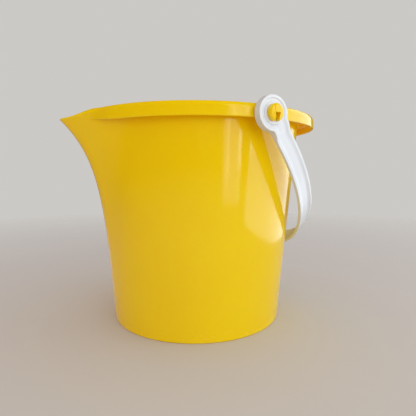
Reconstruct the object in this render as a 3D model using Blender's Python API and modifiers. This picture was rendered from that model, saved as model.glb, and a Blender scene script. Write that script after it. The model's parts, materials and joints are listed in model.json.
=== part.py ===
"""A sand bucket: a spouted tub with a turned-down rim, and a bail that snaps onto the tub's two pegs.

Frame: metres, +Z up, origin on the tub's axis at the flat underside. The spout points to -X, the
finger grip of the rim to +X, and the two pegs stand out along -Y and +Y.
"""
import math

import bmesh
import bpy
from mathutils import Vector

MM = 0.001

# ---- driving dimensions of the tub ----
TUB_HEIGHT = 170.0 * MM
BASE_RADIUS = 73.0 * MM
WALL_TOP_RADIUS = 88.0 * MM
WALL = 2.0 * MM
FLOOR = 2.2 * MM
BASE_ROUND = 1.2 * MM
FLOOR_ROUND = 4.0 * MM

# ---- rim: a flat flange, turned down into a skirt ----
RIM_RADIUS = 98.2 * MM
SKIRT_DEPTH = 9.5 * MM
RIM_EDGE_DROP = 3.5 * MM        # the rim's corner is a quarter ellipse, taller than it is wide
RIM_EDGE_WIDTH = 1.7 * MM
LIP_EDGE_ROUND = 0.8 * MM

# ---- finger grip: opposite the spout the rim is wider and its skirt shallower ----
GRIP_REACH = 2.8 * MM
GRIP_SPREAD = math.radians(88.0)
GRIP_FLAT = math.radians(25.0)
GRIP_SKIRT_DEPTH = 8.2 * MM
SKIRT_TAPER = math.radians(130.0)

# ---- spout ----
SPOUT_SWELL = 6.4 * MM          # slow swelling of the wall below the spout
SPOUT_THROW = 20.9 * MM         # quick flare near the lip
SPOUT_THROW_POWER = 7.0
SPOUT_DROP = 5.4 * MM           # the spout's tip is this far below the rim
SPOUT_LOW_ROUND = 42.5 * MM     # radius of the crease at the base
SPOUT_TIP_ROUND = 6.5 * MM      # radius of the crease at the tip
SPOUT_DIP_ANGLE = math.radians(17.5)
SPOUT_EDGE_ROUND = 0.6 * MM
SPOUT_EDGE_ANGLE = math.radians(26.0)   # the rim's corner sharpens within this of the tip
SPOUT_SKIRT_DEPTH = 6.5 * MM    # the skirt grows shallower towards the spout
SPOUT_SKIRT_ANGLE = math.radians(32.0)
SPOUT_MERGE = 3.0 * MM          # how softly the flaring wall runs into the skirt

# ---- pegs, moulded on the skirt ----
PEG_HEIGHT = 163.2 * MM
PEG_NECK_RADIUS = 3.6 * MM
PEG_HEAD_RADIUS = 5.8 * MM
PEG_HEAD_THICKNESS = 3.9 * MM
PEG_HEAD_DOME = 1.6 * MM        # the part of the thickness that is domed
PEG_ROOT = 96.9 * MM            # the neck starts inside the skirt's thickness
SLOT_TOP = -0.1 * MM            # heights of the slot's top and waist, from the peg's axis
SLOT_WAIST = -2.9 * MM
SLOT_FOOT = -7.0 * MM           # the slot's cutter ends below the head
SLOT_TOP_HALF = 2.1 * MM        # half widths of the slot
SLOT_WAIST_HALF = 1.4 * MM
SLOT_FOOT_HALF = 2.0 * MM
SLOT_START = RIM_RADIUS + 0.6 * MM

# ---- bail ----
CLEARANCE = 0.3 * MM
EYE_RADIUS = 11.8 * MM
EYE_THICKNESS = 5.6 * MM
EYE_INNER_FACE = 99.1 * MM      # distance of the eye's inner face from the tub's middle plane
EYE_RIM_WIDTH = 1.9 * MM
EYE_BOSS_RADIUS = 7.6 * MM
EYE_RECESS = 0.6 * MM
HOOP_REACH = 133.5 * MM         # from the pegs' axis to the middle of the crossbar
HOOP_POWER = 1.98               # very nearly an ellipse
STRAP_WIDTH_AT_EYE = 14.4 * MM
STRAP_WIDTH_AT_MIDDLE = 16.5 * MM
STRAP_THICKNESS = 2.5 * MM
RIB_WIDTH = 1.9 * MM
RIB_HEIGHT = 1.0 * MM
RIB_SLOPE = 3.3 * MM            # width of the channel's curved side
STRAP_FILLET = 3.0 * MM         # the strap's edges run into the eye with this radius
SHOULDER_LENGTH = 9.0 * MM
CUTTER_MARGIN = 1.0 * MM        # how far a cutter runs past what it cuts
REST_ANGLE = math.radians(40.3)  # lean of the hanging bail from straight down

# ---- mesh fineness ----
HALF_COLUMNS = 42
COLUMN_CROWDING = 1.5           # columns stand closer together near the spout
WALL_LEVELS = 13
LEVEL_CROWDING = 1.5            # levels stand closer together near the rim
ARC_STEPS = 3
CORNER_STEPS = 5
TURN_STEPS = 40
DOME_STEPS = 5
HOOP_STEPS = 44
FILLET_STEPS = 3
SLOPE_STEPS = 3
SKIRT_LEVELS = 3

# ---- derived sizes ----
SPOUT_LIP_HEIGHT = TUB_HEIGHT - SPOUT_DROP
EYE_OUTER_FACE = EYE_INNER_FACE + EYE_THICKNESS
PEG_HEAD_BACK = EYE_OUTER_FACE + CLEARANCE
PEG_HEAD_FRONT = PEG_HEAD_BACK + PEG_HEAD_THICKNESS
HOOP_HALF_WIDTH = EYE_INNER_FACE + STRAP_THICKNESS / 2
FILLET_ACROSS = STRAP_WIDTH_AT_EYE / 2 + STRAP_FILLET
HOOP_START = math.sqrt((EYE_RADIUS + STRAP_FILLET) ** 2 - FILLET_ACROSS ** 2)  # the fillet's end
STRAP_START = HOOP_START * EYE_RADIUS / (EYE_RADIUS + STRAP_FILLET)     # where the fillet meets the eye


def smooth_step(value):
    """Ease from 0 to 1 as the value goes from 0 to 1."""
    clamped = min(1.0, max(0.0, value))
    return clamped * clamped * (3.0 - 2.0 * clamped)


def blend(low, high, amount):
    return low + (high - low) * amount


# ---------------------------------------------------------------- scene and materials

def clear_scene():
    for old in list(bpy.data.objects):
        bpy.data.objects.remove(old, do_unlink=True)


def make_collection(name):
    collection = bpy.data.collections.new(name)
    bpy.context.scene.collection.children.link(collection)
    return collection


def plastic(name, colour, roughness):
    material = bpy.data.materials.new(name)
    material.use_nodes = True
    shader = material.node_tree.nodes["Principled BSDF"]
    shader.inputs["Base Color"].default_value = colour
    shader.inputs["Roughness"].default_value = roughness
    shader.inputs["Metallic"].default_value = 0.0
    return material


def add_object(name, mesh, collection, material=None):
    thing = bpy.data.objects.new(name, mesh)
    collection.objects.link(thing)
    if material is not None:
        mesh.materials.append(material)
    return thing


def mesh_from(shape, name):
    """Turn a bmesh into a mesh with its faces pointing out."""
    bmesh.ops.recalc_face_normals(shape, faces=shape.faces)
    mesh = bpy.data.meshes.new(name)
    shape.to_mesh(mesh)
    shape.free()
    return mesh


def smooth_shading(mesh):
    mesh.shade_smooth()
    mesh.set_sharp_from_angle(angle=math.radians(35.0))


def boolean(target, other, operation):
    modifier = target.modifiers.new(operation.lower() + "_" + other.name, "BOOLEAN")
    modifier.operation = operation
    modifier.solver = "EXACT"
    modifier.object = other


def as_cutter(thing):
    thing.hide_render = True
    thing.display_type = "WIRE"
    return thing


# ---------------------------------------------------------------- the tub's surfaces

def round_radius(height):
    """Outer radius of the plain cone, away from the spout."""
    return blend(BASE_RADIUS, WALL_TOP_RADIUS, height / TUB_HEIGHT)


def spout_reach(height):
    """Distance from the axis to the spout's crease."""
    rise = height / SPOUT_LIP_HEIGHT
    return round_radius(height) + SPOUT_SWELL * rise ** 2 + SPOUT_THROW * rise ** SPOUT_THROW_POWER


def outer_radius(angle, height):
    """Outer wall radius: the hull of the round tub and a small circle at the spout's crease.

    The angle is measured from the spout's direction.
    """
    big = round_radius(height)
    small = blend(SPOUT_LOW_ROUND, SPOUT_TIP_ROUND, height / SPOUT_LIP_HEIGHT)
    centre = max(spout_reach(height) - small, big - small + 1e-7)
    tangent = math.acos((big - small) / centre)
    crease_end = math.atan2(small * math.sin(tangent), centre + small * math.cos(tangent))
    turn = abs(angle)
    if turn < crease_end:
        return centre * math.cos(turn) + math.sqrt(small ** 2 - (centre * math.sin(turn)) ** 2)
    return big / math.cos(max(0.0, tangent - turn))


def inner_radius(angle, height):
    return outer_radius(angle, height) * (1.0 - WALL / round_radius(height))


def lip_height(angle):
    """Height of the rim's top, which dips at the spout."""
    return TUB_HEIGHT - SPOUT_DROP * (1.0 - smooth_step(abs(angle) / SPOUT_DIP_ANGLE))


def skirt_radius(angle):
    """Outer radius of the upright skirt: round, and wider at the grip."""
    from_grip = math.pi - abs(angle)
    grip = smooth_step((GRIP_SPREAD - from_grip) / (GRIP_SPREAD - GRIP_FLAT))
    return RIM_RADIUS + GRIP_REACH * grip


def rim_radius(angle, height):
    """Outer radius of the rim: the skirt, until the spout's flaring wall runs through it."""
    skirt = skirt_radius(angle)
    wall = outer_radius(angle, height)
    nearness = max(0.0, 1.0 - abs(skirt - wall) / SPOUT_MERGE)
    return max(skirt, wall) + nearness ** 2 * SPOUT_MERGE / 4


def skirt_foot(angle):
    """Height of the skirt's lower edge: the skirt is shallower at the grip and at the spout."""
    from_grip = math.pi - abs(angle)
    taper = smooth_step((SKIRT_TAPER - from_grip) / SKIRT_TAPER)
    depth = blend(SKIRT_DEPTH, GRIP_SKIRT_DEPTH, taper)
    return TUB_HEIGHT - blend(SPOUT_SKIRT_DEPTH, depth, smooth_step(abs(angle) / SPOUT_SKIRT_ANGLE))


def groove_ceiling(angle):
    """Top of the groove between wall and skirt, which closes where the spout meets the rim."""
    foot = skirt_foot(angle)
    ceiling = lip_height(angle) - WALL
    room = skirt_radius(angle) - WALL - outer_radius(angle, ceiling)
    return foot + (ceiling - foot) * smooth_step(room / (2 * WALL))


def arc(centre_radius, centre_height, size, start, end):
    """Points of a quarter round in the section's plane; angles from the outward direction."""
    points = []
    for step in range(ARC_STEPS + 1):
        turn = blend(start, end, step / ARC_STEPS)
        radius = centre_radius + size * math.cos(turn)
        points.append((radius, centre_height + size * math.sin(turn)))
    return points


def wall_heights(low, high):
    for step in range(1, WALL_LEVELS):
        yield blend(high, low, (1.0 - step / WALL_LEVELS) ** LEVEL_CROWDING)


def outside_points(angle):
    """The section from the underside up the outer wall and into the groove under the rim."""
    quarter = math.pi / 2
    base = outer_radius(angle, BASE_ROUND) - BASE_ROUND
    points = arc(base, BASE_ROUND, BASE_ROUND, -quarter, 0.0)
    foot = skirt_foot(angle)
    ceiling = groove_ceiling(angle)
    for height in wall_heights(BASE_ROUND, ceiling):
        points.append((outer_radius(angle, height), height))
    points.append((outer_radius(angle, ceiling), ceiling))
    skirt_inside = skirt_radius(angle) - WALL
    points.append((max(skirt_inside, outer_radius(angle, ceiling)), ceiling))
    points.append((max(skirt_inside, outer_radius(angle, foot)), foot))
    return points


def rim_points(angle):
    """The section from the skirt's foot over the rim to the lip's inner edge."""
    quarter = math.pi / 2
    top = lip_height(angle)
    fullness = smooth_step(abs(angle) / SPOUT_EDGE_ANGLE)
    drop = blend(SPOUT_EDGE_ROUND, RIM_EDGE_DROP, fullness)
    width = blend(SPOUT_EDGE_ROUND, RIM_EDGE_WIDTH, fullness)
    points = []
    for step in range(SKIRT_LEVELS):
        height = blend(skirt_foot(angle), top - drop, step / SKIRT_LEVELS)
        points.append((rim_radius(angle, height), height))
    edge = rim_radius(angle, top - drop)
    for step in range(CORNER_STEPS + 1):
        turn = quarter * step / CORNER_STEPS
        points.append((edge - width * (1.0 - math.cos(turn)), top - drop * (1.0 - math.sin(turn))))
    lip = inner_radius(angle, top)
    points += arc(lip + LIP_EDGE_ROUND, top - LIP_EDGE_ROUND, LIP_EDGE_ROUND, quarter, 2 * quarter)
    return points


def inside_points(angle):
    """The section from below the lip down the inner wall to the floor."""
    quarter = math.pi / 2
    top = lip_height(angle) - LIP_EDGE_ROUND
    bottom = FLOOR + FLOOR_ROUND
    points = [(inner_radius(angle, height), height) for height in wall_heights(bottom, top)]
    points.reverse()
    corner = inner_radius(angle, bottom) - FLOOR_ROUND
    points += arc(corner, bottom, FLOOR_ROUND, 0.0, -quarter)
    return points


def column_angles():
    """Angles all round, from the spout and back, closer together near the spout."""
    half = [math.pi * (step / HALF_COLUMNS) ** COLUMN_CROWDING for step in range(HALF_COLUMNS + 1)]
    return half + [-angle for angle in reversed(half[1:-1])]


def make_tub_shell():
    """Loft the tub's section all round and close it at the middle of the floor."""
    shape = bmesh.new()
    columns = []
    for angle in column_angles():
        direction = Vector((-math.cos(angle), -math.sin(angle), 0.0))
        section = outside_points(angle) + rim_points(angle) + inside_points(angle)
        columns.append([shape.verts.new(direction * r + Vector((0.0, 0.0, z))) for r, z in section])
    underside = shape.verts.new((0.0, 0.0, 0.0))
    floor = shape.verts.new((0.0, 0.0, FLOOR))
    for index, column in enumerate(columns):
        following = columns[(index + 1) % len(columns)]
        for row in range(len(column) - 1):
            shape.faces.new((column[row], following[row], following[row + 1], column[row + 1]))
        shape.faces.new((underside, following[0], column[0]))
        shape.faces.new((floor, column[-1], following[-1]))
    bmesh.ops.remove_doubles(shape, verts=shape.verts, dist=1e-6)
    return mesh_from(shape, "tub")


# ---------------------------------------------------------------- pegs

def screw_solid(name, profile, collection):
    """Turn a closed (radius, distance) profile about Y into a solid, as a mesh object."""
    shape = bmesh.new()
    points = [shape.verts.new((radius, -distance, 0.0)) for radius, distance in profile]
    for first, second in zip(points, points[1:]):
        shape.edges.new((first, second))
    mesh = bpy.data.meshes.new(name)
    shape.to_mesh(mesh)
    shape.free()
    turned = add_object(name, mesh, collection)
    screw = turned.modifiers.new("turn", "SCREW")
    screw.axis = "Y"
    screw.steps = TURN_STEPS
    screw.render_steps = TURN_STEPS
    screw.use_merge_vertices = True
    screw.merge_threshold = 0.00001
    screw.use_normal_calculate = True
    return turned


def baked(thing):
    """A clean copy of an object's evaluated mesh, in world space; the object is removed."""
    graph = bpy.context.evaluated_depsgraph_get()
    mesh = bpy.data.meshes.new_from_object(thing.evaluated_get(graph))
    mesh.transform(thing.matrix_world)
    shape = bmesh.new()
    shape.from_mesh(mesh)
    bmesh.ops.remove_doubles(shape, verts=shape.verts, dist=1e-6)
    bmesh.ops.recalc_face_normals(shape, faces=shape.faces)
    shape.to_mesh(mesh)
    shape.free()
    bpy.data.objects.remove(thing, do_unlink=True)
    return mesh


def peg_profile():
    """Neck and domed head of a peg, as radius and distance from the tub's middle plane."""
    profile = [(0.0, PEG_ROOT), (PEG_NECK_RADIUS, PEG_ROOT)]
    profile += [(PEG_NECK_RADIUS, PEG_HEAD_BACK), (PEG_HEAD_RADIUS, PEG_HEAD_BACK)]
    for step in range(DOME_STEPS + 1):
        turn = math.pi / 2 * step / DOME_STEPS
        distance = PEG_HEAD_FRONT - PEG_HEAD_DOME * (1.0 - math.sin(turn))
        profile.append((PEG_HEAD_RADIUS * math.cos(turn), distance))
    return profile


def make_peg_slot(side, collection):
    """The waisted slot that lets a peg's head spring, open at its lower edge."""
    half_outline = [(SLOT_TOP_HALF, SLOT_TOP), (SLOT_WAIST_HALF, SLOT_WAIST), (SLOT_FOOT_HALF, SLOT_FOOT)]
    outline = half_outline + [(-x, z) for x, z in reversed(half_outline)]
    shape = bmesh.new()
    length = PEG_HEAD_FRONT + CUTTER_MARGIN - SLOT_START
    face = shape.faces.new([shape.verts.new((x, side * SLOT_START, PEG_HEIGHT + z)) for x, z in outline])
    extruded = bmesh.ops.extrude_face_region(shape, geom=[face])
    moved = [item for item in extruded["geom"] if isinstance(item, bmesh.types.BMVert)]
    bmesh.ops.translate(shape, verts=moved, vec=(0.0, side * length, 0.0))
    name = "slot_left" if side < 0 else "slot_right"
    return as_cutter(add_object(name, mesh_from(shape, name), collection))


def make_peg(side, cutters):
    name = "peg_left" if side < 0 else "peg_right"
    turned = screw_solid(name + "_turned", peg_profile(), cutters)
    if side > 0:
        turned.rotation_euler = (0.0, 0.0, math.pi)
    turned.location = (0.0, 0.0, PEG_HEIGHT)
    bpy.context.view_layer.update()
    return as_cutter(add_object(name, baked(turned), cutters))


def make_tub(parts, cutters, material):
    tub = add_object("tub", make_tub_shell(), parts, material)
    smooth_shading(tub.data)
    for side in (-1, 1):
        boolean(tub, make_peg(side, cutters), "UNION")
        boolean(tub, make_peg_slot(side, cutters), "DIFFERENCE")
    return tub


# ---------------------------------------------------------------- bail

def hoop_point(turn):
    """Distance down the hoop's plane and across it, for a turn of 0 to pi from eye to eye."""
    power = 2.0 / HOOP_POWER
    down = HOOP_START + (HOOP_REACH - HOOP_START) * math.sin(turn) ** power
    across = HOOP_HALF_WIDTH * abs(math.cos(turn)) ** power
    return down, -math.copysign(across, math.cos(turn))


def hoop_normal(turn):
    """Outward normal of the hoop's curve, as (down, across)."""
    step = 1e-4
    before = hoop_point(max(0.0, turn - step))
    after = hoop_point(min(math.pi, turn + step))
    tangent = Vector((after[0] - before[0], after[1] - before[1])).normalized()
    return Vector((tangent.y, -tangent.x))


def strap_half_width(down):
    """Half the strap's width, with a fillet where it runs into the eye."""
    share = max(0.0, down - HOOP_START) / HOOP_REACH
    half = blend(STRAP_WIDTH_AT_EYE, STRAP_WIDTH_AT_MIDDLE, share) / 2
    into_fillet = max(0.0, HOOP_START - down)
    return half + STRAP_FILLET - math.sqrt(STRAP_FILLET ** 2 - into_fillet ** 2)


def strap_section(down):
    """Strap outline as (width direction, outward) pairs: a dished channel with a rib on each edge."""
    half = strap_half_width(down)
    inner = -STRAP_THICKNESS / 2
    shoulder = 1.0 - smooth_step((down - HOOP_START) / SHOULDER_LENGTH)
    crest = STRAP_THICKNESS / 2 + (EYE_THICKNESS - STRAP_THICKNESS) * shoulder
    web = crest - blend(RIB_HEIGHT, EYE_RECESS, shoulder)
    right = [(half, inner), (half, crest)]
    for step in range(SLOPE_STEPS + 1):
        share = step / SLOPE_STEPS
        right.append((half - RIB_WIDTH - RIB_SLOPE * share, blend(web, crest, (1.0 - share) ** 2)))
    return right + [(-width, out) for width, out in reversed(right)]


def strap_stations():
    """Places along the strap as (down, across, outward normal): straight at each eye, then the hoop."""
    straight = []
    for step in range(FILLET_STEPS):
        down = blend(STRAP_START, HOOP_START, step / FILLET_STEPS)
        straight.append((down, HOOP_HALF_WIDTH, Vector((0.0, 1.0))))
    stations = [(down, -across, -normal) for down, across, normal in straight]
    for step in range(HOOP_STEPS + 1):
        turn = math.pi * step / HOOP_STEPS
        down, across = hoop_point(turn)
        stations.append((down, across, hoop_normal(turn)))
    return stations + straight[::-1]


def make_strap(cutters):
    """Loft the strap along its stations, hanging straight down from the pegs' axis."""
    shape = bmesh.new()
    rings = []
    for down, across, normal in strap_stations():
        ring = []
        for width, out in strap_section(down):
            lateral = across + normal.y * out
            ring.append(shape.verts.new((width, lateral, -down - normal.x * out)))
        rings.append(ring)
    for ring, following in zip(rings, rings[1:]):
        for index in range(len(ring)):
            after = (index + 1) % len(ring)
            shape.faces.new((ring[index], ring[after], following[after], following[index]))
    shape.faces.new(rings[0])
    shape.faces.new(rings[-1])
    return add_object("strap", mesh_from(shape, "strap"), cutters)


def eye_profile():
    """Half section of an eye: raised rim, shallow recess and raised boss round the hole."""
    hole = PEG_NECK_RADIUS + CLEARANCE
    floor = EYE_OUTER_FACE - EYE_RECESS
    rim_inside = EYE_RADIUS - EYE_RIM_WIDTH
    points = [(hole, EYE_INNER_FACE), (EYE_RADIUS, EYE_INNER_FACE), (EYE_RADIUS, EYE_OUTER_FACE)]
    points += [(rim_inside, EYE_OUTER_FACE), (rim_inside, floor)]
    points += [(EYE_BOSS_RADIUS, floor), (EYE_BOSS_RADIUS, EYE_OUTER_FACE)]
    return points + [(hole, EYE_OUTER_FACE), (hole, EYE_INNER_FACE)]


def make_eye(side, cutters):
    name = "eye_left" if side < 0 else "eye_right"
    turned = screw_solid(name + "_turned", eye_profile(), cutters)
    if side > 0:
        turned.rotation_euler = (0.0, 0.0, math.pi)
    bpy.context.view_layer.update()
    return as_cutter(add_object(name, baked(turned), cutters))


def make_channel_mouth(side, cutters):
    """The block that opens the eye's rim where the strap's channel runs into it."""
    half = STRAP_WIDTH_AT_EYE / 2 - RIB_WIDTH - RIB_SLOPE
    inner = EYE_RADIUS - EYE_RIM_WIDTH - CUTTER_MARGIN
    depth = EYE_RADIUS + CUTTER_MARGIN - inner
    height = EYE_RECESS + CUTTER_MARGIN
    low = EYE_OUTER_FACE - EYE_RECESS
    shape = bmesh.new()
    bmesh.ops.create_cube(shape, size=1.0)
    bmesh.ops.scale(shape, vec=(2 * half, height, depth), verts=shape.verts)
    centre = (0.0, side * (low + height / 2), -(inner + depth / 2))
    bmesh.ops.translate(shape, vec=centre, verts=shape.verts)
    name = "mouth_left" if side < 0 else "mouth_right"
    return as_cutter(add_object(name, mesh_from(shape, name), cutters))


def make_bail(parts, cutters, material):
    strap = make_strap(cutters)
    for side in (-1, 1):
        boolean(strap, make_eye(side, cutters), "UNION")
        boolean(strap, make_channel_mouth(side, cutters), "DIFFERENCE")
    bpy.context.view_layer.update()
    mesh = baked(strap)
    mesh.name = "bail"
    bail = add_object("bail", mesh, parts, material)
    smooth_shading(mesh)
    bail.location = (0.0, 0.0, PEG_HEIGHT)
    bail.rotation_euler = (0.0, -REST_ANGLE, 0.0)
    return bail


def remove_helpers(collection):
    for helper in list(collection.objects):
        bpy.data.objects.remove(helper, do_unlink=True)


def main():
    clear_scene()
    parts = make_collection("sand_bucket")
    cutters = make_collection("cutters")
    yellow = plastic("yellow_plastic", (0.80, 0.48, 0.0, 1.0), 0.22)
    white = plastic("white_plastic", (0.85, 0.86, 0.88, 1.0), 0.35)
    make_bail(parts, cutters, white)
    remove_helpers(cutters)
    make_tub(parts, cutters, yellow)


main()
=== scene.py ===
"""The looks of the sand bucket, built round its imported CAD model.

Metres, +Z up. The spout points to -X, the wide back of the rim to +X, and the two pegs stand out
along -Y and +Y. Angles round the tub are measured from the spout.
"""

import json
import math

import bmesh
import bpy
from mathutils import Euler, Matrix, Vector


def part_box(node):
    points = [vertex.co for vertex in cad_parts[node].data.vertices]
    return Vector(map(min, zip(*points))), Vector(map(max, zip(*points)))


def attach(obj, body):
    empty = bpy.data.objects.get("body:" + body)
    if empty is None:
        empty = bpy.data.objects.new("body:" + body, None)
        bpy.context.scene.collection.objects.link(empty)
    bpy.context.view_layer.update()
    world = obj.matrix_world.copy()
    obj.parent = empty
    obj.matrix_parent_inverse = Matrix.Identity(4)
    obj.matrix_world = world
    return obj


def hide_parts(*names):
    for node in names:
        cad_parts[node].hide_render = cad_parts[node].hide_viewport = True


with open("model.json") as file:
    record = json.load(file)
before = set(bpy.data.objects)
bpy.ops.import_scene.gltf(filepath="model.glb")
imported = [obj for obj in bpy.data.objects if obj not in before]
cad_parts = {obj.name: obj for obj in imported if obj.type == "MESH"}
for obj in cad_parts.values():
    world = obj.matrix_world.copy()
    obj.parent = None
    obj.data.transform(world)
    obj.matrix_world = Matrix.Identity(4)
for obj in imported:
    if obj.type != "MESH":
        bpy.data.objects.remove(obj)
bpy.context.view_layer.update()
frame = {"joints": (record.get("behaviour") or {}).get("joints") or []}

MM = 0.001
QUARTER = math.pi / 2
WELD_DISTANCE = 0.001 * MM

# ---- sizes read from the frame ----
TUB_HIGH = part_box("tub")[1]
BAIL_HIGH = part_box("bail")[1]
PEG_HEIGHT = frame["joints"][0]["pos_m"][2]
TUB_HEIGHT = TUB_HIGH.z
PEG_HEAD_FRONT = TUB_HIGH.y
EYE_OUTER_FACE = BAIL_HIGH.y
EYE_RADIUS = BAIL_HIGH.z - PEG_HEIGHT

# ---- tub ----
BASE_RADIUS = 73.0 * MM
WALL_TOP_RADIUS = 88.0 * MM
WALL = 2.0 * MM
FLOOR = 2.2 * MM
BASE_ROUND = 1.2 * MM
FLOOR_ROUND = 4.0 * MM

# ---- rim ----
GRIP_REACH = 2.8 * MM
RIM_RADIUS = TUB_HIGH.x - GRIP_REACH
SKIRT_DEPTH = 9.5 * MM
RIM_EDGE_DROP = 3.5 * MM        # the rim's corner is a quarter ellipse, taller than it is wide
RIM_EDGE_WIDTH = 1.7 * MM
LIP_EDGE_ROUND = 0.8 * MM
SKIRT_FOOT_ROUND = 0.8 * MM
GROOVE_ROUND = 1.4 * MM
GRIP_SPREAD = math.radians(88.0)
GRIP_FLAT = math.radians(25.0)
GRIP_SKIRT_DEPTH = 8.2 * MM
SKIRT_TAPER = math.radians(130.0)

# ---- spout ----
SPOUT_SWELL = 6.4 * MM
SPOUT_THROW = 20.9 * MM
SPOUT_THROW_POWER = 7.0
SPOUT_DROP = 5.4 * MM
SPOUT_LIP_HEIGHT = TUB_HEIGHT - SPOUT_DROP
SPOUT_LOW_ROUND = 42.5 * MM
SPOUT_TIP_ROUND = 6.5 * MM
SPOUT_DIP_ANGLE = math.radians(17.5)
SPOUT_EDGE_ROUND = 0.6 * MM
SPOUT_EDGE_ANGLE = math.radians(26.0)
SPOUT_SKIRT_DEPTH = 6.5 * MM    # the skirt grows shallower towards the spout
SPOUT_SKIRT_ANGLE = math.radians(32.0)
SPOUT_MERGE = 3.0 * MM          # how softly the flaring wall runs into the skirt
HULL_MARGIN = 0.0001 * MM       # keeps the spout's circle from sinking inside the round wall

# ---- pegs ----
PEG_NECK_RADIUS = 3.6 * MM
PEG_HEAD_RADIUS = 5.8 * MM
PEG_HEAD_THICKNESS = 3.9 * MM
PEG_HEAD_BACK = PEG_HEAD_FRONT - PEG_HEAD_THICKNESS
PEG_HEAD_DOME = 1.6 * MM
PEG_BACK_ROUND = 0.3 * MM
PEG_ROOT = RIM_RADIUS - 1.3 * MM    # sunk into the skirt
PEG_ROOT_FLARE = 0.5 * MM
SLOT_TOP = -0.1 * MM            # heights and half widths of the slot, from the peg's axis
SLOT_WAIST = -2.9 * MM
SLOT_FOOT = -7.0 * MM
SLOT_TOP_HALF = 2.1 * MM
SLOT_WAIST_HALF = 1.4 * MM
SLOT_FOOT_HALF = 2.0 * MM
SLOT_START = RIM_RADIUS + 0.6 * MM
SLOT_END = PEG_HEAD_FRONT + 1.0 * MM

# ---- bail: an eye at each end of a dished strap, with one raised border round it all ----
HINGE_GAP = 0.3 * MM
EYE_THICKNESS = 5.6 * MM
EYE_INNER_FACE = EYE_OUTER_FACE - EYE_THICKNESS
EYE_HOLE = PEG_NECK_RADIUS + HINGE_GAP
EYE_BOSS_RADIUS = 7.6 * MM
EYE_RECESS = 0.6 * MM
EYE_SLOPE = 0.6 * MM            # width of the border's inner side round the eye
WIDEN_START = 2.0 * MM          # below the peg the border's inner side starts to widen
RIB_WIDTH = 1.9 * MM
RIB_HEIGHT = 1.0 * MM
RIB_SLOPE = 3.3 * MM            # width of the channel's curved side along the strap
EDGE_ROUND = 0.5 * MM
STRAP_WIDTH_AT_EYE = 14.4 * MM
STRAP_WIDTH_AT_MIDDLE = 16.5 * MM
STRAP_THICKNESS = 2.5 * MM
STRAP_FILLET = 3.0 * MM         # the strap's edges run into the eye with this radius
SHOULDER_LENGTH = 9.0 * MM
FILLET_ACROSS = STRAP_WIDTH_AT_EYE / 2 + STRAP_FILLET
HOOP_START = math.sqrt((EYE_RADIUS + STRAP_FILLET) ** 2 - FILLET_ACROSS ** 2)
HOOP_REACH = 133.5 * MM
HOOP_POWER = 1.98
HOOP_HALF_WIDTH = EYE_INNER_FACE + STRAP_THICKNESS / 2
REST_ANGLE = math.radians(40.3)     # how far the hanging bail leans out from straight down

# ---- mesh fineness ----
HALF_COLUMNS = 150
COLUMN_CROWDING = 1.35
WALL_LEVELS = 64
LEVEL_CROWDING = 1.4
SKIRT_LEVELS = 8
CORNER_STEPS = 9
ARC_STEPS = 5
SLOPE_STEPS = 8
FLAT_STEPS = 6
TURN_STEPS = 96
DOME_STEPS = 10
EYE_STEPS = 48
FILLET_STEPS = 10
HOOP_STEPS = 150
TURN_NUDGE = 1e-4               # the step over which the hoop's direction is measured
SHARP_ANGLE = math.radians(38.0)


def smooth_step(value):
    """Ease from 0 to 1 as the value goes from 0 to 1."""
    clamped = min(1.0, max(0.0, value))
    return clamped * clamped * (3.0 - 2.0 * clamped)


def blend(low, high, amount):
    return low + (high - low) * amount


# ---------------------------------------------------------------- mesh helpers

def arc(centre, size, start, end):
    """Points of a round in a section's plane, as (first, second) coordinates."""
    points = []
    for step in range(ARC_STEPS + 1):
        turn = blend(start, end, step / ARC_STEPS)
        points.append((centre[0] + size * math.cos(turn), centre[1] + size * math.sin(turn)))
    return points


def add_object(name, mesh, material=None):
    thing = bpy.data.objects.new(name, mesh)
    bpy.context.scene.collection.objects.link(thing)
    if material is not None:
        mesh.materials.append(material)
    return thing


def mesh_from(shape, name):
    """Turn a bmesh into a clean mesh with its faces pointing out."""
    bmesh.ops.remove_doubles(shape, verts=shape.verts, dist=WELD_DISTANCE)
    bmesh.ops.recalc_face_normals(shape, faces=shape.faces)
    mesh = bpy.data.meshes.new(name)
    shape.to_mesh(mesh)
    shape.free()
    return mesh


def all_round(rings):
    """Each ring of points with the one after it, and the last with the first."""
    return zip(rings, rings[1:] + rings[:1])


def bridge_rows(shape, row, other):
    """Faces between two open rows with as many points each."""
    for index in range(len(row) - 1):
        shape.faces.new((row[index], row[index + 1], other[index + 1], other[index]))


def bridge_loops(shape, loop, other):
    """Faces between two closed loops with as many points each."""
    bridge_rows(shape, loop + loop[:1], other + other[:1])


def turned(name, profile):
    """A solid turned about Y from a (radius, distance) profile that starts and ends on the axis."""
    shape = bmesh.new()
    rings = []
    for step in range(TURN_STEPS):
        turn = 2 * math.pi * step / TURN_STEPS
        across, up = math.cos(turn), math.sin(turn)
        rings.append([shape.verts.new((r * across, d, r * up)) for r, d in profile])
    for ring, following in all_round(rings):
        bridge_rows(shape, ring, following)
    return add_object(name, mesh_from(shape, name))


def boolean(target, other, operation):
    """Cut or join another closed mesh, and remove that other mesh."""
    modifier = target.modifiers.new(operation.lower(), "BOOLEAN")
    modifier.operation = operation
    modifier.solver = "EXACT"
    modifier.object = other
    bpy.context.view_layer.update()
    graph = bpy.context.evaluated_depsgraph_get()
    result = bpy.data.meshes.new_from_object(target.evaluated_get(graph))
    target.modifiers.clear()
    target.data = result
    bpy.data.objects.remove(other, do_unlink=True)


def mirrored_to_side(thing, side):
    """Flip a piece made on the +Y side over to the -Y side."""
    if side < 0:
        for vertex in thing.data.vertices:
            vertex.co.y = -vertex.co.y
        thing.data.flip_normals()


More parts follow.
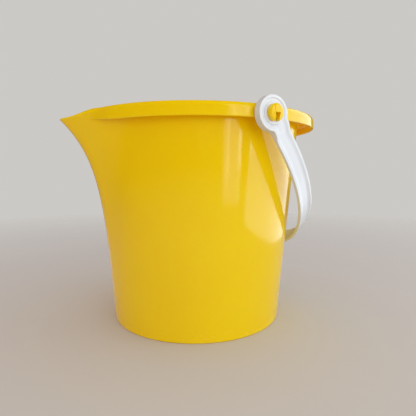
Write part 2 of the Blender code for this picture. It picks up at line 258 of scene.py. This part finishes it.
def soften(thing):
    """Smooth shading that keeps flats flat and real edges crisp."""
    thing.data.shade_smooth()
    thing.data.set_sharp_from_angle(angle=SHARP_ANGLE)
    weighted = thing.modifiers.new("weighted_normals", "WEIGHTED_NORMAL")
    weighted.keep_sharp = True


# ---------------------------------------------------------------- the tub's surfaces

def round_radius(height):
    """Outer radius of the plain cone, away from the spout."""
    return blend(BASE_RADIUS, WALL_TOP_RADIUS, height / TUB_HEIGHT)


def spout_reach(height):
    """Distance from the axis to the spout's crease."""
    rise = height / SPOUT_LIP_HEIGHT
    return round_radius(height) + SPOUT_SWELL * rise ** 2 + SPOUT_THROW * rise ** SPOUT_THROW_POWER


def outer_radius(angle, height):
    """Outer wall radius: the hull of the round tub and a small circle at the spout's crease."""
    big = round_radius(height)
    small = blend(SPOUT_LOW_ROUND, SPOUT_TIP_ROUND, height / SPOUT_LIP_HEIGHT)
    centre = max(spout_reach(height) - small, big - small + HULL_MARGIN)
    tangent = math.acos((big - small) / centre)
    crease_end = math.atan2(small * math.sin(tangent), centre + small * math.cos(tangent))
    turn = abs(angle)
    if turn < crease_end:
        return centre * math.cos(turn) + math.sqrt(small ** 2 - (centre * math.sin(turn)) ** 2)
    return big / math.cos(max(0.0, tangent - turn))


def inner_radius(angle, height):
    return outer_radius(angle, height) * (1.0 - WALL / round_radius(height))


def lip_height(angle):
    """Height of the rim's top, which dips at the spout."""
    return TUB_HEIGHT - SPOUT_DROP * (1.0 - smooth_step(abs(angle) / SPOUT_DIP_ANGLE))


def skirt_radius(angle):
    """Outer radius of the upright skirt: round, and wider at the grip."""
    from_grip = math.pi - abs(angle)
    grip = smooth_step((GRIP_SPREAD - from_grip) / (GRIP_SPREAD - GRIP_FLAT))
    return RIM_RADIUS + GRIP_REACH * grip


def rim_radius(angle, height):
    """Outer radius of the rim: the skirt or the spout's flaring wall, with a soft change between."""
    skirt = skirt_radius(angle)
    wall = outer_radius(angle, height)
    nearness = max(0.0, 1.0 - abs(skirt - wall) / SPOUT_MERGE)
    return max(skirt, wall) + nearness ** 2 * SPOUT_MERGE / 4


def skirt_foot(angle):
    """Height of the skirt's lower edge: the skirt is shallower at the grip and at the spout."""
    from_grip = math.pi - abs(angle)
    taper = smooth_step((SKIRT_TAPER - from_grip) / SKIRT_TAPER)
    depth = blend(SKIRT_DEPTH, GRIP_SKIRT_DEPTH, taper)
    return TUB_HEIGHT - blend(SPOUT_SKIRT_DEPTH, depth, smooth_step(abs(angle) / SPOUT_SKIRT_ANGLE))


def groove_ceiling(angle):
    """Top of the groove between wall and skirt, which closes where the spout meets the rim."""
    foot = skirt_foot(angle)
    ceiling = lip_height(angle) - WALL
    room = skirt_radius(angle) - WALL - outer_radius(angle, ceiling)
    return foot + (ceiling - foot) * smooth_step(room / (2 * WALL))


def levels(low, high):
    """Heights between two ends, standing closer together near the high one."""
    for step in range(1, WALL_LEVELS):
        yield blend(high, low, (1.0 - step / WALL_LEVELS) ** LEVEL_CROWDING)


def outside_points(angle):
    """The section from the underside up the outer wall and round the groove under the rim."""
    base = outer_radius(angle, BASE_ROUND) - BASE_ROUND
    points = arc((base, BASE_ROUND), BASE_ROUND, -QUARTER, 0.0)
    ceiling = groove_ceiling(angle)
    wall_top = outer_radius(angle, ceiling)
    skirt_inside = max(skirt_radius(angle) - WALL, wall_top)
    size = min(GROOVE_ROUND, (skirt_inside - wall_top) / 2, (ceiling - skirt_foot(angle)) / 2)
    for height in levels(BASE_ROUND, ceiling - size):
        points.append((outer_radius(angle, height), height))
    points += arc((wall_top + size, ceiling - size), size, 2 * QUARTER, QUARTER)
    points += arc((skirt_inside - size, ceiling - size), size, QUARTER, 0.0)
    return points


def skirt_points(angle):
    """The section round the skirt's foot, up its outside and over the rim to the lip."""
    foot = skirt_foot(angle)
    inside = max(skirt_radius(angle) - WALL, outer_radius(angle, foot))
    edge = rim_radius(angle, foot)
    size = min(SKIRT_FOOT_ROUND, (edge - inside) / 2)
    points = arc((inside + size, foot + size), size, -2 * QUARTER, -QUARTER)
    points += arc((edge - size, foot + size), size, -QUARTER, 0.0)
    top = lip_height(angle)
    fullness = smooth_step(abs(angle) / SPOUT_EDGE_ANGLE)
    drop = blend(SPOUT_EDGE_ROUND, RIM_EDGE_DROP, fullness)
    width = blend(SPOUT_EDGE_ROUND, RIM_EDGE_WIDTH, fullness)
    for step in range(1, SKIRT_LEVELS):
        height = blend(foot + size, top - drop, step / SKIRT_LEVELS)
        points.append((rim_radius(angle, height), height))
    edge = rim_radius(angle, top - drop)
    for step in range(CORNER_STEPS + 1):
        turn = QUARTER * step / CORNER_STEPS
        points.append((edge - width * (1.0 - math.cos(turn)), top - drop * (1.0 - math.sin(turn))))
    lip = inner_radius(angle, top) + LIP_EDGE_ROUND
    points += arc((lip, top - LIP_EDGE_ROUND), LIP_EDGE_ROUND, QUARTER, 2 * QUARTER)
    return points


def inside_points(angle):
    """The section from below the lip down the inner wall to the floor."""
    bottom = FLOOR + FLOOR_ROUND
    top = lip_height(angle) - LIP_EDGE_ROUND
    points = [(inner_radius(angle, height), height) for height in levels(bottom, top)]
    points.reverse()
    corner = inner_radius(angle, bottom) - FLOOR_ROUND
    return points + arc((corner, bottom), FLOOR_ROUND, 0.0, -QUARTER)


def column_angles():
    """Angles all round, from the spout and back, closer together near the spout."""
    half = [math.pi * (step / HALF_COLUMNS) ** COLUMN_CROWDING for step in range(HALF_COLUMNS + 1)]
    return half + [-angle for angle in reversed(half[1:-1])]


def make_tub_shell():
    """Loft the tub's section all round and close it at the middle of the floor."""
    shape = bmesh.new()
    columns = []
    for angle in column_angles():
        direction = Vector((-math.cos(angle), -math.sin(angle), 0.0))
        section = outside_points(angle) + skirt_points(angle) + inside_points(angle)
        columns.append([shape.verts.new(direction * r + Vector((0.0, 0.0, z))) for r, z in section])
    underside = shape.verts.new((0.0, 0.0, 0.0))
    floor = shape.verts.new((0.0, 0.0, FLOOR))
    for column, following in all_round(columns):
        bridge_rows(shape, column, following)
        shape.faces.new((underside, following[0], column[0]))
        shape.faces.new((floor, column[-1], following[-1]))
    return add_object("tub_moulding", mesh_from(shape, "tub_moulding"))


# ---------------------------------------------------------------- pegs

def peg_profile():
    """Flared neck and domed head of a peg, as (radius, distance from the middle plane)."""
    profile = [(0.0, PEG_ROOT), (PEG_NECK_RADIUS + PEG_ROOT_FLARE, PEG_ROOT)]
    flare = (PEG_NECK_RADIUS + PEG_ROOT_FLARE, RIM_RADIUS + PEG_ROOT_FLARE)
    profile += arc(flare, PEG_ROOT_FLARE, 3 * QUARTER, 2 * QUARTER)
    profile.append((PEG_NECK_RADIUS, PEG_HEAD_BACK))
    back = (PEG_HEAD_RADIUS - PEG_BACK_ROUND, PEG_HEAD_BACK + PEG_BACK_ROUND)
    profile += arc(back, PEG_BACK_ROUND, -QUARTER, 0.0)
    for step in range(DOME_STEPS + 1):
        turn = QUARTER * step / DOME_STEPS
        distance = PEG_HEAD_FRONT - PEG_HEAD_DOME * (1.0 - math.sin(turn))
        profile.append((PEG_HEAD_RADIUS * math.cos(turn), distance))
    return profile


def make_slot_cutter():
    """The waisted slot that lets a peg's head spring, open at its lower edge."""
    half_outline = [
        (SLOT_TOP_HALF, SLOT_TOP),
        (SLOT_WAIST_HALF, SLOT_WAIST),
        (SLOT_FOOT_HALF, SLOT_FOOT),
    ]
    outline = half_outline + [(-x, z) for x, z in reversed(half_outline)]
    shape = bmesh.new()
    rings = []
    for distance in (SLOT_START, SLOT_END):
        rings.append([shape.verts.new((x, distance, z)) for x, z in outline])
    near, far = rings
    bridge_loops(shape, near, far)
    shape.faces.new(near)
    shape.faces.new(far)
    return add_object("slot", mesh_from(shape, "slot"))


def make_peg(side):
    peg = turned("peg", peg_profile())
    boolean(peg, make_slot_cutter(), "DIFFERENCE")
    mirrored_to_side(peg, side)
    peg.location = (0.0, 0.0, PEG_HEIGHT)
    return peg


def make_tub(material):
    tub = make_tub_shell()
    for side in (-1, 1):
        boolean(tub, make_peg(side), "UNION")
    tub.data.materials.clear()
    tub.data.materials.append(material)
    soften(tub)
    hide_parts("tub")
    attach(tub, "tub_body")


# ---------------------------------------------------------------- bail

def hoop_point(turn):
    """Distance down the hoop's plane and across it, for a turn of 0 to pi from eye to eye."""
    power = 2.0 / HOOP_POWER
    down = HOOP_START + (HOOP_REACH - HOOP_START) * math.sin(turn) ** power
    across = HOOP_HALF_WIDTH * abs(math.cos(turn)) ** power
    return down, -math.copysign(across, math.cos(turn))


def hoop_normal(turn):
    """Outward normal of the hoop's curve, as (down, across)."""
    before = hoop_point(max(0.0, turn - TURN_NUDGE))
    after = hoop_point(min(math.pi, turn + TURN_NUDGE))
    tangent = Vector((after[0] - before[0], after[1] - before[1])).normalized()
    return Vector((tangent.y, -tangent.x))


def border_profile(thickness, slope, depth):
    """Half section of the raised border, as (distance in from the edge, height over the back)."""
    size = EDGE_ROUND
    points = arc((size, size), size, -QUARTER, -2 * QUARTER)
    points += arc((size, thickness - size), size, 2 * QUARTER, QUARTER)
    for step in range(SLOPE_STEPS + 1):
        share = step / SLOPE_STEPS
        height = thickness - depth + depth * (1.0 - share) ** 2
        points.append((RIB_WIDTH + slope * share, height))
    return points


def flat_run(half, height):
    """Points strictly between +half and -half, from right to left."""
    return [(blend(half, -half, step / FLAT_STEPS), height) for step in range(1, FLAT_STEPS)]


def strap_section(down):
    """Strap outline as (width, height over the back), once round from the back's right edge."""
    half = blend(STRAP_WIDTH_AT_EYE, STRAP_WIDTH_AT_MIDDLE, (down - HOOP_START) / HOOP_REACH) / 2
    shoulder = 1.0 - smooth_step((down - HOOP_START) / SHOULDER_LENGTH)
    border = border_profile(blend(STRAP_THICKNESS, EYE_THICKNESS, shoulder), RIB_SLOPE, RIB_HEIGHT)
    right = [(half - inward, height) for inward, height in border]
    left = [(-width, height) for width, height in reversed(right)]
    back = [(-width, height) for width, height in flat_run(*right[0])]
    return right + flat_run(*right[-1]) + left + back


def add_strap(shape):
    """Loft the strap along the hoop, hanging straight down from the pegs' axis."""
    rings = []
    for step in range(HOOP_STEPS + 1):
        turn = math.pi * step / HOOP_STEPS
        down, across = hoop_point(turn)
        normal = hoop_normal(turn)
        ring = []
        for width, height in strap_section(down):
            out = height - STRAP_THICKNESS / 2
            ring.append(shape.verts.new((width, across + normal.y * out, -down - normal.x * out)))
        rings.append(ring)
    for ring, following in zip(rings, rings[1:]):
        bridge_loops(shape, ring, following)


def eye_outline():
    """Points of the eye's edge and their inward normals, from one strap edge over to the other."""
    half = []
    tangent_turn = math.pi - math.asin(FILLET_ACROSS / (EYE_RADIUS + STRAP_FILLET))
    for step in range(EYE_STEPS + 1):
        turn = tangent_turn * step / EYE_STEPS
        outward = Vector((math.sin(turn), -math.cos(turn)))
        half.append((outward * EYE_RADIUS, -outward))
    centre = Vector((FILLET_ACROSS, HOOP_START))
    for step in range(1, FILLET_STEPS + 1):
        turn = blend(tangent_turn - math.pi, -QUARTER, step / FILLET_STEPS)
        inward = Vector((math.sin(turn), -math.cos(turn)))
        half.append((centre + inward * STRAP_FILLET, inward))
    left = [(Vector((-p.x, p.y)), Vector((-n.x, n.y))) for p, n in reversed(half[1:])]
    return left + half


def eye_circle(shape, side, loop, radius, distance):
    """A ring of points round the hole, each in the direction of one of the loop's points."""
    ring = []
    for vertex in loop:
        turn = math.atan2(vertex.co.x, vertex.co.z)
        place = (radius * math.sin(turn), side * distance, radius * math.cos(turn))
        ring.append(shape.verts.new(place))
    return ring


def closed_at_strap(shape, points):
    """A loop from an eye's open row of points, closed along the line where the strap starts."""
    last = points[-1].co
    return points + [shape.verts.new((x, y, -HOOP_START)) for x, y in flat_run(last.x, last.y)]


def boss_profile():
    """The boss and the hole through it, as (radius, distance from the middle plane)."""
    size = EDGE_ROUND
    profile = [(EYE_BOSS_RADIUS, EYE_OUTER_FACE - EYE_RECESS)]
    profile += arc((EYE_BOSS_RADIUS - size, EYE_OUTER_FACE - size), size, 0.0, QUARTER)
    profile += arc((EYE_HOLE + size, EYE_OUTER_FACE - size), size, QUARTER, 2 * QUARTER)
    return profile + arc((EYE_HOLE + size, EYE_INNER_FACE + size), size, 2 * QUARTER, 3 * QUARTER)


def add_eye(shape, side):
    """An eye: the border runs round it, and a boss stands round the hole."""
    rows = []
    for point, inward in eye_outline():
        widening = smooth_step((point.y - WIDEN_START) / (HOOP_START - WIDEN_START))
        slope = blend(EYE_SLOPE, RIB_SLOPE, widening)
        depth = blend(EYE_RECESS, RIB_HEIGHT, widening)
        row = []
        for distance, height in border_profile(EYE_THICKNESS, slope, depth):
            place = point + inward * distance
            row.append(shape.verts.new((place.x, side * (EYE_INNER_FACE + height), -place.y)))
        rows.append(row)
    for row, following in zip(rows, rows[1:]):
        bridge_rows(shape, row, following)
    back = closed_at_strap(shape, [row[0] for row in rows])
    front = closed_at_strap(shape, [row[-1] for row in rows])
    loop = front
    for radius, distance in boss_profile():
        ring = eye_circle(shape, side, front, radius, distance)
        bridge_loops(shape, loop, ring)
        loop = ring
    bridge_loops(shape, loop, back)


def make_bail(material):
    """The bail is made hanging straight down from the origin, then swung back and lifted to the pegs."""
    shape = bmesh.new()
    add_strap(shape)
    for side in (-1, 1):
        add_eye(shape, side)
    swing = Matrix.Rotation(-REST_ANGLE, 4, "Y")
    lift = Matrix.Translation((0.0, 0.0, PEG_HEIGHT))
    bmesh.ops.transform(shape, matrix=lift @ swing, verts=shape.verts)
    bail = add_object("bail_handle", mesh_from(shape, "bail_handle"), material)
    soften(bail)
    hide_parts("bail")
    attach(bail, "bail_body")


# ---------------------------------------------------------------- materials

def mix_colours(tree, share, first, second):
    """Mix two colours by a share; each is a colour or a socket."""
    node = tree.nodes.new("ShaderNodeMix")
    node.data_type = "RGBA"
    colours = [socket for socket in node.inputs if socket.type == "RGBA"]
    tree.links.new(share, node.inputs["Factor"])
    for socket, value in zip(colours, (first, second)):
        if isinstance(value, tuple):
            socket.default_value = value
        else:
            tree.links.new(value, socket)
    return next(socket for socket in node.outputs if socket.type == "RGBA")


class Nodes:
    """Short calls for building one material's node tree."""

    def __init__(self, name):
        self.material = bpy.data.materials.new(name)
        self.material.use_nodes = True
        self.tree = self.material.node_tree
        self.shader = self.tree.nodes["Principled BSDF"]
        self.place = self.tree.nodes.new("ShaderNodeTexCoord").outputs["Object"]

    def link(self, source, target):
        self.tree.links.new(source, target)

    def stretched(self, scale):
        """The object's coordinates, multiplied axis by axis."""
        mapping = self.tree.nodes.new("ShaderNodeMapping")
        mapping.inputs["Scale"].default_value = scale
        self.link(self.place, mapping.inputs["Vector"])
        return mapping.outputs["Vector"]

    def noise(self, scale, detail, stretch=(1.0, 1.0, 1.0)):
        """Cloudy noise with about this many waves to a metre."""
        texture = self.tree.nodes.new("ShaderNodeTexNoise")
        texture.inputs["Scale"].default_value = scale
        texture.inputs["Detail"].default_value = detail
        self.link(self.stretched(stretch), texture.inputs["Vector"])
        return texture.outputs["Fac"]

    def ramp(self, source, low, high, low_value, high_value):
        """Map low..high of the source onto low_value..high_value, held at both ends."""
        mapper = self.tree.nodes.new("ShaderNodeMapRange")
        mapper.inputs["From Min"].default_value = low
        mapper.inputs["From Max"].default_value = high
        mapper.inputs["To Min"].default_value = low_value
        mapper.inputs["To Max"].default_value = high_value
        self.link(source, mapper.inputs["Value"])
        return mapper.outputs["Result"]

    def math(self, operation, first, second):
        node = self.tree.nodes.new("ShaderNodeMath")
        node.operation = operation
        for socket, value in zip(node.inputs, (first, second)):
            if isinstance(value, float):
                socket.default_value = value
            else:
                self.link(value, socket)
        return node.outputs["Value"]

    def mix(self, share, first, second):
        return mix_colours(self.tree, share, first, second)

    def setting(self, name, value):
        """Set one of the surface shader's inputs to a fixed value."""
        self.shader.inputs[name].default_value = value

    def bump(self, height, depth, strength, normal=None):
        """Bump from a height of 0..1 that stands for a depth in metres."""
        node = self.tree.nodes.new("ShaderNodeBump")
        node.inputs["Distance"].default_value = depth
        node.inputs["Strength"].default_value = strength
        self.link(height, node.inputs["Height"])
        if normal is not None:
            self.link(normal, node.inputs["Normal"])
        return node.outputs["Normal"]

    def edge_wear(self):
        """1 on sharp outer edges, 0 elsewhere."""
        pointiness = self.tree.nodes.new("ShaderNodeNewGeometry").outputs["Pointiness"]
        return self.ramp(pointiness, WEAR_LOW, WEAR_HIGH, 0.0, 1.0)

    def height(self):
        """The object's own Z coordinate."""
        split = self.tree.nodes.new("ShaderNodeSeparateXYZ")
        self.link(self.place, split.inputs["Vector"])
        return split.outputs["Z"]


YELLOW = (0.80, 0.585, 0.0, 1.0)
YELLOW_DEEP = (0.78, 0.56, 0.0, 1.0)
YELLOW_RUBBED = (0.92, 0.70, 0.08, 1.0)
PAINTED_GLOW_COLOUR = (1.0, 0.33, 0.0, 1.0)     # painted glow: a weak orange emission standing in for light that soaks through the thin walls and bounces into creases
PAINTED_GLOW_STRENGTH = 0.08
SOAK_RADIUS = (1.0, 0.45, 0.02)         # how far red, green and blue travel, in parts of the depth
SOAK_DEPTH = 5.0 * MM
SOAK_SHARE = 0.4
WHITE = (0.75, 0.765, 0.79, 1.0)
WHITE_DULL = (0.71, 0.725, 0.745, 1.0)
WHITE_RUBBED = (0.80, 0.81, 0.825, 1.0)
PLASTIC_IOR = 1.49
YELLOW_SHINE = 0.38
YELLOW_ROUGHNESS = (0.08, 0.14)
WHITE_ROUGHNESS = (0.27, 0.38)
NOISE_LOW = 0.3                         # a noise mostly stays between these values
NOISE_HIGH = 0.7
CLOUD_LOW = 0.35                        # a narrower stretch gives patches with clearer edges
CLOUD_HIGH = 0.65
SCRATCH_LOW = 0.58                      # only the noise's peaks make scratches
SCRATCH_HIGH = 0.66
WEAR_LOW = 0.52                         # pointiness where an edge starts to look rubbed
WEAR_HIGH = 0.60
UPRIGHT_STREAKS = (1.0, 1.0, 0.06)
LEVEL_SCRATCHES = (1.0, 1.0, 3.0)
SCUFF_TOP = 12.0 * MM                   # the base is scuffed up to here
SCUFF_FULL = 1.0 * MM
SCUFF_SHARE = 0.55
SCUFF_ROUGHNESS = 0.25


def yellow_plastic():
    """Glossy moulded polypropylene: flow marks up the wall, faint orange peel, scuffed base, and a
    painted orange glow all over.
    """
    nodes = Nodes("yellow_plastic")
    cloud = nodes.ramp(nodes.noise(scale=14.0, detail=3.0), CLOUD_LOW, CLOUD_HIGH, 0.0, 1.0)
    colour = nodes.mix(cloud, YELLOW, YELLOW_DEEP)
    scratches = nodes.noise(scale=420.0, detail=4.0, stretch=LEVEL_SCRATCHES)
    scuffs = nodes.ramp(scratches, SCRATCH_LOW, SCRATCH_HIGH, 0.0, 1.0)
    near_base = nodes.ramp(nodes.height(), SCUFF_FULL, SCUFF_TOP, SCUFF_SHARE, 0.0)
    worn = nodes.math("MULTIPLY", nodes.math("MAXIMUM", near_base, nodes.edge_wear()), scuffs)
    nodes.link(nodes.mix(worn, colour, YELLOW_RUBBED), nodes.shader.inputs["Base Color"])
    gloss = nodes.ramp(nodes.noise(scale=90.0, detail=5.0), NOISE_LOW, NOISE_HIGH, *YELLOW_ROUGHNESS)
    rough = nodes.math("ADD", gloss, nodes.math("MULTIPLY", worn, SCUFF_ROUGHNESS))
    nodes.link(rough, nodes.shader.inputs["Roughness"])
    nodes.setting("IOR", PLASTIC_IOR)
    nodes.setting("Specular IOR Level", YELLOW_SHINE)
    nodes.setting("Subsurface Weight", SOAK_SHARE)
    nodes.setting("Subsurface Radius", SOAK_RADIUS)
    nodes.setting("Subsurface Scale", SOAK_DEPTH)
    # Painted glow: a weak orange emission over the whole surface lifts the shade in creases, in the pegs'
    # slots and under the rim.
    nodes.setting("Emission Color", PAINTED_GLOW_COLOUR)
    nodes.setting("Emission Strength", PAINTED_GLOW_STRENGTH)
    flow = nodes.noise(scale=60.0, detail=3.0, stretch=UPRIGHT_STREAKS)
    streaks = nodes.bump(flow, depth=0.3 * MM, strength=0.5)
    dimples = nodes.noise(scale=700.0, detail=2.0)
    peel = nodes.bump(dimples, depth=0.006 * MM, strength=0.5, normal=streaks)
    waves = nodes.noise(scale=18.0, detail=1.0)
    sink = nodes.bump(waves, depth=0.4 * MM, strength=0.25, normal=peel)
    nodes.link(sink, nodes.shader.inputs["Normal"])
    return nodes.material


def white_plastic():
    """Satin moulded plastic: fine grain, faintly duller clouds, rubbed edges."""
    nodes = Nodes("white_plastic")
    cloud = nodes.ramp(nodes.noise(scale=30.0, detail=3.0), CLOUD_LOW, CLOUD_HIGH, 0.0, 1.0)
    colour = nodes.mix(cloud, WHITE, WHITE_DULL)
    colour = nodes.mix(nodes.edge_wear(), colour, WHITE_RUBBED)
    nodes.link(colour, nodes.shader.inputs["Base Color"])
    gloss = nodes.ramp(nodes.noise(scale=160.0, detail=4.0), NOISE_LOW, NOISE_HIGH, *WHITE_ROUGHNESS)
    nodes.link(gloss, nodes.shader.inputs["Roughness"])
    nodes.setting("IOR", PLASTIC_IOR)
    grain = nodes.bump(nodes.noise(scale=1500.0, detail=2.0), depth=0.015 * MM, strength=0.5)
    waves = nodes.noise(scale=60.0, detail=1.0)
    sink = nodes.bump(waves, depth=0.15 * MM, strength=0.3, normal=grain)
    nodes.link(sink, nodes.shader.inputs["Normal"])
    return nodes.material


# ---------------------------------------------------------------- studio

FLOOR_RADIUS = 3.0
FLOOR_SIDES = 96
FLOOR_COLOUR = (0.66, 0.62, 0.59, 1.0)
FLOOR_GRAIN = 0.12
BACKDROP_COLOUR = (0.60, 0.585, 0.56, 1.0)
ROOM_LEFT = (0.73, 0.63, 0.57, 1.0)
ROOM_RIGHT = (0.70, 0.73, 0.77, 1.0)
ROOM_GLOSS = (0.20, 0.14, 0.06, 1.0)
FULLY_LEFT = -0.8               # the room's colour changes between these X directions
FULLY_RIGHT = 0.6
DAYLIGHT = (0.90, 1.0, 1.07)
FADE_START = 0.30               # distances from the bucket's axis
FADE_END = 0.95


def floor_material():
    """Pale matte floor that fades into the backdrop away from the bucket."""
    nodes = Nodes("floor")
    grain = nodes.noise(scale=40.0, detail=4.0)
    share = nodes.ramp(grain, NOISE_LOW, NOISE_HIGH, 0.0, FLOOR_GRAIN)
    colour = nodes.mix(share, FLOOR_COLOUR, BACKDROP_COLOUR)
    nodes.link(colour, nodes.shader.inputs["Base Color"])
    nodes.setting("Roughness", 0.9)
    nodes.setting("Specular IOR Level", 0.0)
    length = nodes.tree.nodes.new("ShaderNodeVectorMath")
    length.operation = "LENGTH"
    nodes.link(nodes.place, length.inputs[0])
    fade = nodes.ramp(length.outputs["Value"], FADE_START, FADE_END, 0.0, 1.0)
    clear = nodes.tree.nodes.new("ShaderNodeBsdfTransparent")
    mixer = nodes.tree.nodes.new("ShaderNodeMixShader")
    nodes.link(fade, mixer.inputs["Fac"])
    nodes.link(nodes.shader.outputs["BSDF"], mixer.inputs[1])
    nodes.link(clear.outputs["BSDF"], mixer.inputs[2])
    nodes.link(mixer.outputs["Shader"], nodes.tree.nodes["Material Output"].inputs["Surface"])
    return nodes.material


def make_floor():
    shape = bmesh.new()
    bmesh.ops.create_circle(shape, cap_ends=True, segments=FLOOR_SIDES, radius=FLOOR_RADIUS)
    floor = add_object("studio_floor", mesh_from(shape, "studio_floor"), floor_material())


def make_world():
    """A room warm on the left and cool on the right, dim in the gloss, behind a pale backdrop."""
    world = bpy.data.worlds.new("studio")
    world.use_nodes = True
    tree = world.node_tree
    direction = tree.nodes.new("ShaderNodeTexCoord")
    split = tree.nodes.new("ShaderNodeSeparateXYZ")
    tree.links.new(direction.outputs["Generated"], split.inputs["Vector"])
    rightness = tree.nodes.new("ShaderNodeMapRange")
    rightness.inputs["From Min"].default_value = FULLY_LEFT
    rightness.inputs["From Max"].default_value = FULLY_RIGHT
    tree.links.new(split.outputs["X"], rightness.inputs["Value"])
    path = tree.nodes.new("ShaderNodeLightPath")
    colour = mix_colours(tree, rightness.outputs["Result"], ROOM_LEFT, ROOM_RIGHT)
    colour = mix_colours(tree, path.outputs["Is Glossy Ray"], colour, ROOM_GLOSS)
    colour = mix_colours(tree, path.outputs["Is Camera Ray"], colour, BACKDROP_COLOUR)
    tree.links.new(colour, tree.nodes["Background"].inputs["Color"])
    bpy.context.scene.world = world


def soft_box(name, azimuth, distance, width, low, high, radiance):
    """An upright light facing the bucket; its azimuth is measured from +X in degrees."""
    turn = math.radians(azimuth)
    light = bpy.data.lights.new(name, "AREA")
    light.shape = "RECTANGLE"
    light.size = width
    light.size_y = high - low
    light.energy = radiance * math.pi * width * (high - low)
    light.color = DAYLIGHT
    box = bpy.data.objects.new(name, light)
    box.location = (distance * math.cos(turn), distance * math.sin(turn), (low + high) / 2)
    box.rotation_euler = (QUARTER, 0.0, turn + QUARTER)
    box.visible_camera = False
    bpy.context.scene.collection.objects.link(box)
    return box


# Bright panes for the gloss: azimuth and spread in degrees, distance, lower edge, radiance.
PANES = (
    (-84.0, 19.0, 0.42, 0.02, 1.3),
    (-89.0, 3.0, 0.42, 0.06, 2.0),
    (-77.0, 2.0, 0.42, 0.08, 3.4),
    (-64.0, 1.6, 0.42, 0.10, 2.6),
    (-30.0, 74.0, 0.31, 0.0, 1.9),
)
PANE_TOP = 0.40
WINDOW_AZIMUTH = -38.0
FRONT_AZIMUTH = -95.0


def make_lights():
    """A soft window on the right, a broad front light, and bright panes for the gloss only."""
    window = soft_box("window", WINDOW_AZIMUTH, distance=1.0, width=0.65, low=0.1, high=0.5, radiance=1.8)
    window.visible_glossy = False
    front = soft_box("front", FRONT_AZIMUTH, distance=1.2, width=1.2, low=0.0, high=0.5, radiance=2.6)
    front.visible_glossy = False
    for index, (azimuth, spread, distance, low, radiance) in enumerate(PANES):
        width = 2 * distance * math.tan(math.radians(spread / 2))
        pane = soft_box("pane_" + str(index), azimuth, distance, width, low, PANE_TOP, radiance)
        pane.visible_diffuse = False


# The camera stands this far round from the left peg's direction, towards the spout.
CAMERA_STAND = math.radians(28.5)
CAMERA_DISTANCE = 1.914 * TUB_HEIGHT
CAMERA_HEIGHT = 0.718 * TUB_HEIGHT
CAMERA_LOOK_DOWN = math.radians(4.956)
CAMERA_LOOK_ASIDE = math.radians(1.81)  # how far right of the tub's axis it looks
CAMERA_LENS = 30.97
FULL_FRAME = 36.0
NEAR_CLIP = 0.01


def make_camera():
    """A camera on the left peg's side, lower than the rim and looking slightly down."""
    camera = bpy.data.objects.new("camera", bpy.data.cameras.new("camera"))
    across = -CAMERA_DISTANCE * math.sin(CAMERA_STAND)
    along = -CAMERA_DISTANCE * math.cos(CAMERA_STAND)
    camera.location = (across, along, CAMERA_HEIGHT)
    heading = CAMERA_STAND + CAMERA_LOOK_ASIDE
    camera.rotation_euler = Euler((QUARTER - CAMERA_LOOK_DOWN, 0.0, -heading), "XYZ")
    camera.data.sensor_width = FULL_FRAME
    camera.data.lens = CAMERA_LENS
    camera.data.clip_start = NEAR_CLIP
    bpy.context.scene.collection.objects.link(camera)
    bpy.context.scene.camera = camera


make_camera()
make_world()
make_lights()
make_floor()
make_tub(yellow_plastic())
make_bail(white_plastic())
bpy.context.scene.view_settings.view_transform = "Standard"

bpy.context.view_layer.update()
